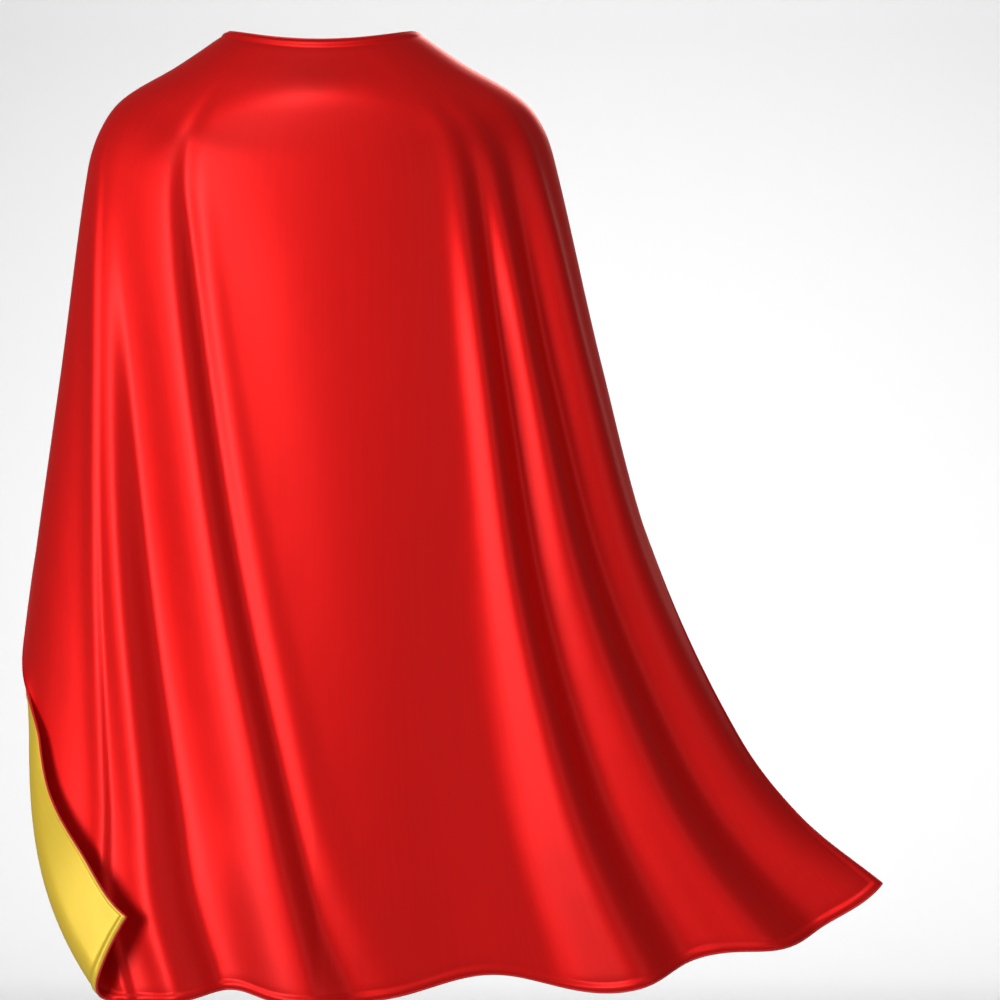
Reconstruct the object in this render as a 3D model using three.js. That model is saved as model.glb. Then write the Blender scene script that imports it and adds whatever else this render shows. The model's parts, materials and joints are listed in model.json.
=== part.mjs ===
// A child's reversible satin cape, hanging as it is worn.
// The frame is millimetres with +Z up, the wearer faces +Y, and the origin is level with the back of
// the neckline, on the axis of the neck. The cape is two cloths, a red shell and a yellow lining,
// bagged out along every edge, with two neck tabs that close at the throat with hook and loop.

import * as THREE from "three";
import { mergeVertices } from "three/addons/utils/BufferGeometryUtils.js";

// ---- Driving sizes, in millimetres and degrees ----

const capeLength = 690; // cloth from the neckline to the hem
const yokeLength = 138; // cloth from the neckline to the shoulder line
const neckHalfWidth = 66;
const neckHalfDepth = 50;
const neckSideRise = 9; // how far the neckline climbs at the sides of the neck
const neckFrontDrop = 12; // how far it falls where the tabs start
const shoulderHalfWidth = 165;
const shoulderDrop = 88; // shoulder line below the neckline, at the side
const shoulderBackDrop = 128; // the same, down the middle of the back
const shoulderFrontDrop = 130; // the same, down the front edges
const shoulderDepth = 84; // back of the cape behind the neck's axis, at the shoulder line
const frontDepth = 72; // how far the front edges bulge before the neck's axis
const hemDepth = 122; // back of the cape behind the neck's axis, at the hem
const leftReach = 223; // left corner of the hem from the centre, laid flat
const rightReach = 388; // right corner, which flares out
const leftFall = 570; // shoulder line to hem along the left edge
const rightFall = 501; // the same along the right edge
const backFall = 540; // the same down the middle of the back

const clothThickness = 0.8; // shell and lining, each
const stayThickness = 0.6; // stay tape and interfacing, between shell and lining
const clearance = 0.3; // between pieces that touch
const seamWidth = 1; // the stitched edge that closes shell to lining

const turnRise = 202; // the left edge starts to turn over this far above its corner
const turnInset = 20; // and this far in from the corner's reach
const turnHeight = 217; // from there down to the hem
const turnRun = 62; // how far the turned fold drifts inwards by the hem
const turnTopRadius = 13; // radius of the roll where it starts
const turnHemRadius = 18; // and at the hem
const turnOnset = 70; // length over which the roll begins

const bendTop = -46; // where the yoke bends over the shoulders, at the centre of the back
const bendDrop = 36; // how far that bend falls by bendReach from the centre
const bendReach = 111;
const bendOut = 5; // how far it stands out
const bendAbove = 22; // and over what height that fades, above it and below it
const bendBelow = 70;
const bendFade = [90, 140]; // it fades between these, to each side

const tabHeight = 34; // neck tab, top to bottom
const tabReach = 18; // how far each tab passes the middle of the throat
const tabRootGap = 0.6; // between the yoke's front edge and its tab
const tabFlare = 0.3; // how much wider the tab's bottom edge starts than its top
const tabFall = 5; // how much lower its tip is than its root
const patchLength = 30; // hook and loop patches
const patchHeight = 22;
const patchThickness = 1.4;
const patchGap = 0.6; // between the hooks and the loops
const patchEndInset = 3; // from the tab's tip
const patchStitchInset = 2.5;
const stitchWidth = 0.8;
const stitchThickness = 0.5;
const interfacingInset = 2.5;
const tapeHeight = 8; // stay tape along the neckline
const tapeDrop = 3;
const labelWidth = 24;
const labelHeight = 34;
const labelThickness = 0.4;
const labelDrop = 14;
const labelGap = 3; // the label hangs a little clear of the lining

// ---- Colours ----

const shellRed = 0xc4101a;
const liningYellow = 0xe1c030;
const tapeWhite = 0xe8e4dc;
const patchRed = 0x9c1016;

// ---- Small helpers ----

const radians = THREE.MathUtils.degToRad;
const mix = THREE.MathUtils.lerp;

function easeBetween(from, to, value) {
  return THREE.MathUtils.smoothstep(value, from, to);
}

// ---- The surface half way through the cape ----
// s runs down the cloth, 0 at the neckline and 1 at the hem; t runs round it, -1 and 1 at the edges.

const yokeShare = yokeLength / capeLength;
const yokeRows = [0, 0.3, 0.6, 0.8, 1];
const dropRows = [0.25, 0.5, 0.75, 0.875, 1];
const knots = [
  ...yokeRows.map((share) => share * yokeShare),
  ...dropRows.map((share) => yokeShare + share * (1 - yokeShare)),
];

// A smooth curve through one value for each knot.
function smooth(values) {
  const last = values.length - 1;
  const slopes = values.map((value, i) => {
    const before = Math.max(i - 1, 0);
    const after = Math.min(i + 1, last);
    return (values[after] - values[before]) / (knots[after] - knots[before]);
  });
  return (s) => {
    let i = 0;
    while (i < last - 1 && s > knots[i + 1]) i += 1;
    const span = knots[i + 1] - knots[i];
    const p = (s - knots[i]) / span;
    const q = 1 - p;
    const rise = values[i] * (1 + 2 * p) * q * q + values[i + 1] * (1 + 2 * q) * p * p;
    return rise + span * (slopes[i] * p * q * q - slopes[i + 1] * q * p * p);
  };
}

// The same from three sizes, neckline, shoulder line and hem, and the shape between them.
function profile(neck, shoulder, hem, yokeShape, dropShape) {
  return smooth([
    ...yokeShape.map((share) => mix(neck, shoulder, share)),
    ...dropShape.map((share) => mix(shoulder, hem, share)),
  ]);
}

const shoulderOut = [0, 0.36, 0.75, 0.91, 1];
const shoulderDown = [0, 0.25, 0.49, 0.71, 1];
const evenDown = dropRows;
const leftFlare = [0.329, 0.669, 0.966, 1.19, 1];
const rightFlare = [0.141, 0.306, 0.568, 0.758, 1];
const rightDown = [0.273, 0.545, 0.8, 0.912, 1];
const backOver = [0, 0.28, 0.586, 0.79, 1];
const frontOver = [0, 0.29, 0.59, 0.8, 1];
const backOut = [0, 0.55, 0.84, 0.94, 1];
const backFlare = [0.2, 0.41, 0.68, 0.84, 1];
const frontOut = [0, 0.55, 0.91, 1, 1];

// The heights of the hem below the neckline
const leftHem = -shoulderDrop - leftFall;
const rightHem = -shoulderDrop - rightFall;
const backHem = -shoulderBackDrop - backFall;
const frontHem = -shoulderFrontDrop - backFall;

const sides = {
  left: {
    reach: profile(neckHalfWidth, shoulderHalfWidth, leftReach, shoulderOut, leftFlare),
    height: profile(neckSideRise, -shoulderDrop, leftHem, shoulderDown, evenDown),
  },
  right: {
    reach: profile(neckHalfWidth, shoulderHalfWidth, rightReach, shoulderOut, rightFlare),
    height: profile(neckSideRise, -shoulderDrop, rightHem, shoulderDown, rightDown),
  },
};
const backHeight = profile(0, -shoulderBackDrop, backHem, backOver, evenDown);
const frontHeight = profile(-neckFrontDrop, -shoulderFrontDrop, frontHem, frontOver, evenDown);
const backDepth = profile(neckHalfDepth, shoulderDepth, hemDepth, backOut, backFlare);
const bulge = profile(neckHalfDepth, frontDepth, frontDepth, frontOut, evenDown);
const wrapAngle = smooth([132, 136, 136, 133, 130, 110, 92, 78, 72, 66].map(radians));

// The folds: where each runs at the shoulder line and at the hem, as a share of the cape's reach, how
// far it stands out (or in, if negative), how wide it is, and where down the cloth it begins and is full.
const folds = [
  { top: 0.44, hem: 0.4, out: -9, width: 0.14, begins: 0.35, full: 0.9 },
  { top: 0.6, hem: 0.53, out: 12, width: 0.08, begins: 0.11, full: 0.5 },
  { top: 0.67, hem: 0.66, out: -9, width: 0.08, begins: 0.14, full: 0.6 },
  { top: 0.76, hem: 0.85, out: 10, width: 0.08, begins: 0.14, full: 0.6 },
  { top: 0.84, hem: 0.95, out: -7, width: 0.07, begins: 0.2, full: 0.7 },
  { top: -0.92, hem: -0.43, out: 6, width: 0.08, begins: 0.16, full: 0.6 },
  { top: -0.85, hem: -0.29, out: -8, width: 0.08, begins: 0.16, full: 0.7 },
  { top: -0.64, hem: -0.01, out: 8, width: 0.12, begins: 0.1, full: 0.5 },
];
const foldSideways = 0.3; // a fold moves the cloth mostly in and out, and this much of it sideways

// Where the hem lifts between the folds, how far, and over what width.
const hemLifts = [
  { at: 0.31, up: 20, width: 0.15 },
  { at: 0.7, up: 19, width: 0.12 },
  { at: -0.27, up: 10, width: 0.12 },
];
const liftBegins = 0.6;

function bump(distance, width) {
  return Math.exp(-((distance / width) ** 2));
}

function foldOut(share, s) {
  return folds.reduce((sum, fold) => {
    const middle = mix(fold.top, fold.hem, (s - yokeShare) / (1 - yokeShare));
    return sum + fold.out * easeBetween(fold.begins, fold.full, s) * bump(share - middle, fold.width);
  }, 0);
}

function hemLift(share, s) {
  const up = hemLifts.reduce((sum, lift) => sum + lift.up * bump(share - lift.at, lift.width), 0);
  return up * easeBetween(liftBegins, 1, s);
}

function bendOver(x, z) {
  const below = bendTop - bendDrop * (x / bendReach) ** 2 - z;
  const across = 1 - easeBetween(...bendFade, Math.abs(x));
  return bendOut * across * bump(below, below < 0 ? bendAbove : bendBelow);
}

const turnTop = turnRise - shoulderDrop - leftFall;
const turnReach = leftReach - turnInset;

// The line of the turned corner, and the way out across it, at one height.
function turnLine(height) {
  const down = Math.max((turnTop - height) / turnHeight, 0);
  const slope = (3 * turnRun * down ** 2) / turnHeight; // of the cubic that the line follows
  const steep = Math.hypot(slope, 1);
  return {
    radius: mix(turnTopRadius, turnHemRadius, Math.min(down, 1)),
    x: turnRun * down ** 3 - turnReach,
    across: { x: -1 / steep, z: -slope / steep },
    along: { x: slope / steep, z: -1 / steep },
  };
}

const turnSteps = 6; // towards the nearest point of the line

// Rolls a point of the flat lower left corner over the line; lift is how far it stands off the back.
function turnOver(x, z) {
  let height = z;
  for (let i = 0; i < turnSteps; i += 1) {
    const line = turnLine(height);
    height += ((x - line.x) * line.along.x + (z - height) * line.along.z) * line.along.z;
  }
  const line = turnLine(height);
  const beyond = (x - line.x) * line.across.x + (z - height) * line.across.z;
  const rolled = beyond + line.radius;
  if (rolled <= 0) return { x, z, lift: 0 };
  const angle = Math.min(rolled / line.radius, Math.PI);
  const flat = Math.max(rolled - Math.PI * line.radius, 0);
  const out = line.radius * (Math.sin(angle) - 1) - flat;
  const lift = line.radius * (1 - Math.cos(angle));
  const begun = easeBetween(0, turnOnset, turnTop + turnOnset / 2 - z);
  const move = (out - beyond) * begun;
  return { x: x + line.across.x * move, z: z + line.across.z * move, lift: lift * begun };
}

// How squarely each level of the cape turns up from the centre towards its edges.
const shoulderPower = 2;
const hemPower = 5;
const neckEase = 0.03; // the bend starts this far down from the neckline

function capePoint(t, s) {
  const side = t < 0 ? sides.left : sides.right;
  const wrap = wrapAngle(s);
  const angle = Math.abs(t) * wrap;
  const reach = side.reach(s) / Math.sin(Math.min(wrap, Math.PI / 2));
  const sign = t < 0 ? -1 : 1;
  let x = sign * reach * Math.sin(angle);
  const edgeShare = Math.abs(x) / side.reach(s);
  let fold = 0;
  let z;
  let y;
  if (angle <= Math.PI / 2) {
    const power = mix(shoulderPower, hemPower, easeBetween(yokeShare, 1, s));
    z = mix(backHeight(s), side.height(s), edgeShare ** power);
    const turned = t < 0 ? turnOver(x, z) : { x, z, lift: 0 };
    x = turned.x;
    z = turned.z;
    const cosine = Math.sqrt(Math.max(1 - (x / reach) ** 2, 0));
    y = -backDepth(s) * cosine - turned.lift;
    fold = bendOver(x, z) * easeBetween(0, neckEase, s);
    z += hemLift(x / side.reach(s), s);
  } else {
    const round = (Math.cos(angle) / Math.cos(wrapAngle(0))) ** 2;
    z = mix(side.height(s), frontHeight(s), round);
    y = -bulge(s) * Math.cos(angle);
  }
  const out = new THREE.Vector2(x * backDepth(s), y * reach).normalize();
  fold += foldOut(x / side.reach(s), s);
  return new THREE.Vector3(x + out.x * fold * foldSideways, y + out.y * fold, z);
}

// The tabs carry the neckline on round the throat: k runs from the yoke's front edge to the tab's tip,
// and w from its top to its bottom. The outer tab clears the inner one, and both patches, by a step.
const tabShare = tabHeight / capeLength;
const layerThickness = 2 * clothThickness + stayThickness + 2 * clearance;
const tabStep = layerThickness + 2 * patchThickness + 2 * clearance + patchGap;
const rootAngle = wrapAngle(0);
const lapAngle = Math.asin(tabReach / neckHalfWidth);
const tipAngle = Math.PI + lapAngle;
const lapShare = (Math.PI - lapAngle - rootAngle) / (tipAngle - rootAngle); // where they overlap

function throatPoint(k, w) {
  const angle = mix(rootAngle, tipAngle, k);
  const spread = 1 + tabFlare * w * Math.max(1 - k / lapShare, 0) ** 2;
  return new THREE.Vector3(
    neckHalfWidth * Math.sin(angle) * spread,
    -neckHalfDepth * Math.cos(angle) * spread,
    -neckFrontDrop - tabFall * k - w * tabHeight,
  );
}

function tabPoint(sign, step) {
  return (k, w) => {
    const point = throatPoint(k, w);
    const across = new THREE.Vector3(point.x, point.y, 0).normalize();
    const root = capePoint(1, w * tabShare).sub(throatPoint(0, w));
    point.addScaledVector(root, Math.max(1 - k / lapShare, 0) ** 2);
    point.addScaledVector(across, step * easeBetween(0, lapShare, k));
    point.x *= sign;
    return point;
  };
}

// ---- Solids ----

const nearby = 1e-4; // a small step along a surface

// The side of a surface that faces away from the wearer, at one point of it.
function outward(surface, u, v, facing) {
  const across = surface(u + nearby, v).sub(surface(u - nearby, v));
  const down = surface(u, v + nearby).sub(surface(u, v - nearby));
  return across.cross(down).normalize().multiplyScalar(facing);
}

function spread(from, to, count) {
  return Array.from({ length: count + 1 }, (_, i) => mix(from, to, i / count));
}

// A closed solid from rings of corners: each ring joins the next, and both ends are capped unless
// the last ring is the first again. A ring goes down one face and back up the other, and both faces
// are split along the same diagonals.
function loft(rings, capped = true) {
  const corners = rings[0].length;
  const half = corners / 2;
  const positions = rings.flat().flatMap((point) => [point.x, point.y, point.z]);
  const index = [];
  for (let i = 0; i + 1 < rings.length; i += 1) {
    for (let j = 0; j < corners; j += 1) {
      const a = i * corners + j;
      const b = i * corners + ((j + 1) % corners);
      if (j < half) index.push(a, b, b + corners, a, b + corners, a + corners);
      else index.push(a, b, a + corners, b, b + corners, a + corners);
    }
  }
  const end = (rings.length - 1) * corners;
  for (let j = 0; capped && j < half - 1; j += 1) {
    const a = j;
    const b = corners - 1 - j;
    index.push(a, b, b - 1, a, b - 1, a + 1);
    index.push(end + a, end + b - 1, end + b, end + a, end + a + 1, end + b - 1);
  }
  const geometry = new THREE.BufferGeometry();
  geometry.setAttribute("position", new THREE.Float32BufferAttribute(positions, 3));
  geometry.setIndex(index);
  return mergeVertices(geometry);
}

// Turns a solid's faces round if they point inwards.
function facingOut(geometry) {
  const index = geometry.getIndex().array;
  const position = geometry.getAttribute("position");
  const corner = (i) => new THREE.Vector3().fromBufferAttribute(position, index[i]);
  let volume = 0;
  for (let i = 0; i < index.length; i += 3) {
    volume += corner(i).dot(corner(i + 1).cross(corner(i + 2)));
  }
  if (volume < 0) {
    for (let i = 0; i < index.length; i += 3) {
      [index[i + 1], index[i + 2]] = [index[i + 2], index[i + 1]];
    }
  }
  geometry.computeVertexNormals();
  return geometry;
}

// A cloth layer: the surface over columns us and rows vs, from offset low to offset high along its
// outward side.
function layer(surface, us, vs, low, high, facing) {
  const rings = us.map((u) => {
    const outer = [];
    const inner = [];
    for (const v of vs) {
      const side = outward(surface, u, v, facing);
      const point = surface(u, v);
      outer.push(point.clone().addScaledVector(side, high));
      inner.push(point.clone().addScaledVector(side, low));
    }
    return [...outer, ...inner.reverse()];
  });
  return facingOut(loft(rings));
}

// A stitched edge: a square strip just past an edge of the surface. places lists its (u, v), and
// inside steps back into the cloth.
function edgeSeam(surface, places, inside, facing) {
  const half = layerThickness / 2;
  const rings = places.map(([u, v]) => {
    const point = surface(u, v);
    const side = outward(surface, u, v, facing);
    const past = point.clone().sub(surface(u + inside[0], v + inside[1])).normalize();
    const [near, far] = [clearance, clearance + seamWidth];
    return [[near, half], [far, half], [far, -half], [near, -half]].map(([out, up]) =>
      point.clone().addScaledVector(past, out).addScaledVector(side, up));
  });
  return facingOut(loft(rings));
}

// A closed line of stitches round a patch of columns us and rows vs, from offset low to offset high.
// It is stitchWidth wide, where du and dv are that width along u and along v.
function boxStitch(surface, us, vs, du, dv, low, high, facing) {
  const [left, right] = [us[0], us[us.length - 1]];
  const [top, bottom] = [vs[0], vs[vs.length - 1]];
  const loop = [
    ...us.map((u) => [u, top]),
    ...vs.slice(1, -1).map((v) => [right, v]),
    ...us.toReversed().map((u) => [u, bottom]),
    ...vs.slice(1, -1).toReversed().map((v) => [left, v]),
  ];
  const inset = ([u, v]) => [
    THREE.MathUtils.clamp(u, left + du, right - du),
    THREE.MathUtils.clamp(v, top + dv, bottom - dv),
  ];
  const at = ([u, v], offset) => surface(u, v).addScaledVector(outward(surface, u, v, facing), offset);
  const rings = loop.map((place) => [
    at(place, high),
    at(inset(place), high),
    at(inset(place), low),
    at(place, low),
  ]);
  return facingOut(loft([...rings, rings[0]], false));
}

// ---- The object ----

const cape = new THREE.Group();

function add(name, geometry, color, roughness) {
  const material = new THREE.MeshStandardMaterial({ color, roughness, metalness: 0 });
  const mesh = new THREE.Mesh(geometry, material);
  mesh.name = name;
  cape.add(mesh);
}

const satin = 0.35;
const matt = 0.9;
const inner = stayThickness / 2;
const under = inner + clearance; // nearest face of the shell and of the lining
const face = under + clothThickness; // their far face

// Columns are closer on the far left, where the corner rolls over.
const rollEnd = -0.45;
const columns = [
  ...spread(-1, rollEnd, 22),
  ...spread(rollEnd, 0, 8).slice(1),
  ...spread(0, 1, 26).slice(1),
];
const cut = clearance / 2 / capeLength; // half the cut between yoke and drape, as a share
const tapeRows = [tapeDrop / capeLength, (tapeDrop + tapeHeight) / capeLength];
const edgeRows = spread(tabShare + 2 * cut, yokeShare - cut, 4); // yoke's front edges, below the tabs
const yokeSpan = [0, ...tapeRows, mix(tapeRows[1], tabShare, 0.5), ...edgeRows];
const turnShare = 0.6; // rows are closer below here too
const drapeSpan = [...spread(yokeShare + cut, turnShare, 8), ...spread(turnShare, 1, 22).slice(1)];

// Shell, lining and stay tape
for (const [part, rows] of [["yoke", yokeSpan], ["drape", drapeSpan]]) {
  add(`shell_${part}`, layer(capePoint, columns, rows, under, face, -1), shellRed, satin);
  add(`lining_${part}`, layer(capePoint, columns, rows, -face, -under, -1), liningYellow, satin);
}
const tapeEnd = 0.95; // it stops short of the tabs
const tapeColumns = columns.filter((t) => Math.abs(t) < tapeEnd);
const stayTape = layer(capePoint, tapeColumns, tapeRows, -inner, inner, -1);
add("neckline_stay_tape", stayTape, tapeWhite, matt);

// Stitched edges of the cape
for (const [name, s, inside] of [["neckline_seam", 0, nearby], ["hem_seam", 1, -nearby]]) {
  const seam = edgeSeam(capePoint, columns.map((t) => [t, s]), [0, inside], -1);
  add(name, seam, shellRed, satin);
}
for (const [name, edge] of [["left", -1], ["right", 1]]) {
  for (const [part, rows] of [["yoke", edgeRows], ["drape", drapeSpan]]) {
    const seam = edgeSeam(capePoint, rows.map((s) => [edge, s]), [-edge * nearby, 0], -1);
    add(`${name}_edge_seam_${part}`, seam, shellRed, satin);
  }
}

// Care label, blank, under the lining at the back of the neck
const labelRows = [labelDrop, labelDrop + labelHeight].map((drop) => drop / capeLength);
const labelMiddle = (labelRows[0] + labelRows[1]) / 2;
const labelHalf = labelWidth / 2 / (sides.left.reach(labelMiddle) * wrapAngle(labelMiddle));
const labelSpan = [spread(-labelHalf, labelHalf, 4), spread(...labelRows, 3)];
const labelHigh = -face - labelGap;
const label = layer(capePoint, ...labelSpan, labelHigh - labelThickness, labelHigh, -1);
add("care_label", label, tapeWhite, matt);

// Neck tabs: the outer one is rooted on the right and closes over the inner one
const tabArc = ((neckHalfWidth + neckHalfDepth) / 2) * (tipAngle - rootAngle);
const rootShare = tabRootGap / tabArc;
const patchSpan = [1 - (patchEndInset + patchLength) / tabArc, 1 - patchEndInset / tabArc];
const tabColumns = [...spread(rootShare, patchSpan[0], 5), ...spread(...patchSpan, 4).slice(1), 1];
const stiffColumns = tabColumns.slice(0, -1);
const patchEdge = (1 - patchHeight / tabHeight) / 2;
const patchRows = [patchEdge, 0.5, 1 - patchEdge];
const stiffEdge = interfacingInset / tabHeight;
const stiffRows = [stiffEdge, ...patchRows, 1 - stiffEdge];
const clothRows = [0, ...stiffRows, 1];

// patchSide is 1 where the tab's patch faces away from the throat, and -1 where it faces the throat.
function tab(name, sign, step, patchName, patchSide) {
  const surface = tabPoint(sign, step);
  const facing = -sign;
  const stiffening = layer(surface, stiffColumns, stiffRows, -inner, inner, facing);
  const lining = layer(surface, tabColumns, clothRows, -face, -under, facing);
  add(`${name}_shell`, layer(surface, tabColumns, clothRows, under, face, facing), shellRed, satin);
  add(`${name}_interfacing`, stiffening, tapeWhite, matt);
  add(`${name}_lining`, lining, liningYellow, satin);
  const tip = clothRows.map((w) => [1, w]);
  add(`${name}_tip_seam`, edgeSeam(surface, tip, [-nearby, 0], facing), shellRed, satin);

  const near = patchSide * (face + clearance);
  const far = near + patchSide * patchThickness;
  const patchColumns = tabColumns.filter((k) => k >= patchSpan[0] && k <= patchSpan[1]);
  const [low, high] = [Math.min(near, far), Math.max(near, far)];
  const patch = layer(surface, patchColumns, patchRows, low, high, facing);
  add(`${patchName}_patch`, patch, patchRed, matt);

  // The patch's stitches show on the tab's other face.
  const stitchRows = patchRows.map((w) => mix(w, 0.5, (2 * patchStitchInset) / patchHeight));
  const endInset = patchStitchInset / tabArc;
  const stitchColumns = [
    patchColumns[0] + endInset,
    ...patchColumns.slice(1, -1),
    patchColumns.at(-1) - endInset,
  ];
  const thin = [stitchWidth / tabArc, stitchWidth / tabHeight];
  const rest = -patchSide * (face + clearance);
  const proud = rest - patchSide * stitchThickness;
  const offsets = [Math.min(rest, proud), Math.max(rest, proud)];
  const stitches = boxStitch(surface, stitchColumns, stitchRows, ...thin, ...offsets, facing);
  add(`${patchName}_stitching`, stitches, shellRed, matt);
}

tab("outer_tab", 1, tabStep, "hook", -1);
tab("inner_tab", -1, 0, "loop", 1);

export default cape;
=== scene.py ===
"""A child's reversible satin cape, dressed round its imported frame.

The frame is metres with +Z up. The wearer faces +Y, so the red outside faces -Y.
"""

import json
import math

import bmesh
import bpy
import numpy as np
from bpy.props import FloatProperty, FloatVectorProperty, PointerProperty
from mathutils import Matrix, Vector

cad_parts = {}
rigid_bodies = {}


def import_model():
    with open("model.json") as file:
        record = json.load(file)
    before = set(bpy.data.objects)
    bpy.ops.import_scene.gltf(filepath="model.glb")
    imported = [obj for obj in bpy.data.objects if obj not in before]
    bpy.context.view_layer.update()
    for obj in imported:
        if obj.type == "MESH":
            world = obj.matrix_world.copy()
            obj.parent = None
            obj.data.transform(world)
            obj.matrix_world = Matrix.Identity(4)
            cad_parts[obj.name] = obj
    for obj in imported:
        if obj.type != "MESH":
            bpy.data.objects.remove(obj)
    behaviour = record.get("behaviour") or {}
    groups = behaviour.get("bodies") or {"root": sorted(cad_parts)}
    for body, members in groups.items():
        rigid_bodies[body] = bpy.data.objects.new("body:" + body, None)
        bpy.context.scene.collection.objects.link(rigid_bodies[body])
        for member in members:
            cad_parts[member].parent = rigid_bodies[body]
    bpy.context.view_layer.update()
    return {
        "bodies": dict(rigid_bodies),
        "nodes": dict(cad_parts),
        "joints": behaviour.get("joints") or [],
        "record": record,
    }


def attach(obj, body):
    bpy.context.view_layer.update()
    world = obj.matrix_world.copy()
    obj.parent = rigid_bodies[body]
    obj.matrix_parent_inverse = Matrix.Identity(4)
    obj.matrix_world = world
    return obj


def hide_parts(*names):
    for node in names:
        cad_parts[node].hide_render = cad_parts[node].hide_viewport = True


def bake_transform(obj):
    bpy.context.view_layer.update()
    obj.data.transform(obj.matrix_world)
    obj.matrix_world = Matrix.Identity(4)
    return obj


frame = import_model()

bl_info = {
    "name": "Reversible satin cape",
    "version": (1, 0, 0),
    "blender": (4, 5, 0),
    "location": "3D View > Sidebar > Cape",
    "description": "Builds the cloths, tabs and stitching of a child's satin cape",
    "category": "Object",
}

MM = 0.001

# ---- The cut of the cape, in millimetres and degrees: the sizes that its solids were made to ----

CAPE_LENGTH = 690
YOKE_LENGTH = 138
NECK_HALF_WIDTH = 66
NECK_HALF_DEPTH = 50
NECK_SIDE_RISE = 9
NECK_FRONT_DROP = 12
SHOULDER_HALF_WIDTH = 165
SHOULDER_DROP = 88
SHOULDER_BACK_DROP = 128
SHOULDER_FRONT_DROP = 130
SHOULDER_DEPTH = 84
FRONT_DEPTH = 72
HEM_DEPTH = 122
LEFT_REACH = 223
RIGHT_REACH = 388
LEFT_FALL = 570
RIGHT_FALL = 501
BACK_FALL = 540

TURN_TOP = -456  # height where the left edge starts to turn over
TURN_REACH = 203  # how far left of the centre it starts
TURN_HEIGHT = 217
TURN_RUN = 62
TURN_TOP_RADIUS = 5  # radius of the roll where it starts, and at the hem
TURN_HEM_RADIUS = 12
TURN_ONSET = 70
TURN_SMOOTHS = 0.85  # the share of each fold that the turned part loses,
TURN_SMOOTH_LIFT = (8, 20)  # as it lifts from the first of these to the second

YOKE_SHARE = YOKE_LENGTH / CAPE_LENGTH
YOKE_ROWS = np.array([0, 0.3, 0.6, 0.8, 1])
DROP_ROWS = np.array([0.25, 0.5, 0.75, 0.875, 1])
KNOTS = np.concatenate([YOKE_ROWS * YOKE_SHARE, YOKE_SHARE + DROP_ROWS * (1 - YOKE_SHARE)])


def smooth(values):
    """A smooth curve down the cloth through one value for each knot."""
    values = np.array(values, float)
    before = np.maximum(np.arange(len(KNOTS)) - 1, 0)
    after = np.minimum(np.arange(len(KNOTS)) + 1, len(KNOTS) - 1)
    slopes = (values[after] - values[before]) / (KNOTS[after] - KNOTS[before])

    def at(s):
        i = np.clip(np.searchsorted(KNOTS, s, side="right") - 1, 0, len(KNOTS) - 2)
        span = KNOTS[i + 1] - KNOTS[i]
        p = (s - KNOTS[i]) / span
        q = 1 - p
        rise = values[i] * (1 + 2 * p) * q * q + values[i + 1] * (1 + 2 * q) * p * p
        return rise + span * (slopes[i] * p * q * q - slopes[i + 1] * q * p * p)

    return at


def profile(neck, shoulder, hem, yoke_shape, drop_shape):
    """The same from three sizes, neckline, shoulder line and hem, and the shape between them."""
    yoke = neck + (shoulder - neck) * np.array(yoke_shape)
    drop = shoulder + (hem - shoulder) * np.array(drop_shape)
    return smooth([*yoke, *drop])


SHOULDER_OUT = [0, 0.36, 0.75, 0.91, 1]
SHOULDER_DOWN = [0, 0.25, 0.49, 0.71, 1]
EVEN = DROP_ROWS
left_reach = profile(
    NECK_HALF_WIDTH, SHOULDER_HALF_WIDTH, LEFT_REACH, SHOULDER_OUT, [0.329, 0.669, 0.966, 1.19, 1]
)
left_height = profile(
    NECK_SIDE_RISE, -SHOULDER_DROP, -SHOULDER_DROP - LEFT_FALL, SHOULDER_DOWN, EVEN
)
right_reach = profile(
    NECK_HALF_WIDTH, SHOULDER_HALF_WIDTH, RIGHT_REACH, SHOULDER_OUT, [0.141, 0.306, 0.568, 0.758, 1]
)
right_height = profile(
    NECK_SIDE_RISE, -SHOULDER_DROP, -SHOULDER_DROP - RIGHT_FALL, SHOULDER_DOWN,
    [0.273, 0.545, 0.8, 0.912, 1],
)
back_height = profile(
    0, -SHOULDER_BACK_DROP, -SHOULDER_BACK_DROP - BACK_FALL, [0, 0.28, 0.586, 0.79, 1], EVEN
)
front_height = profile(
    -NECK_FRONT_DROP, -SHOULDER_FRONT_DROP, -SHOULDER_FRONT_DROP - BACK_FALL,
    [0, 0.29, 0.59, 0.8, 1], EVEN,
)
back_depth = profile(
    NECK_HALF_DEPTH, SHOULDER_DEPTH, HEM_DEPTH, [0, 0.55, 0.84, 0.94, 1], [0.2, 0.41, 0.68, 0.84, 1]
)
bulge = profile(NECK_HALF_DEPTH, FRONT_DEPTH, FRONT_DEPTH, [0, 0.55, 0.91, 1, 1], EVEN)
wrap_angle = smooth(np.radians([132, 136, 136, 133, 130, 110, 92, 78, 72, 66]))

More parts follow.
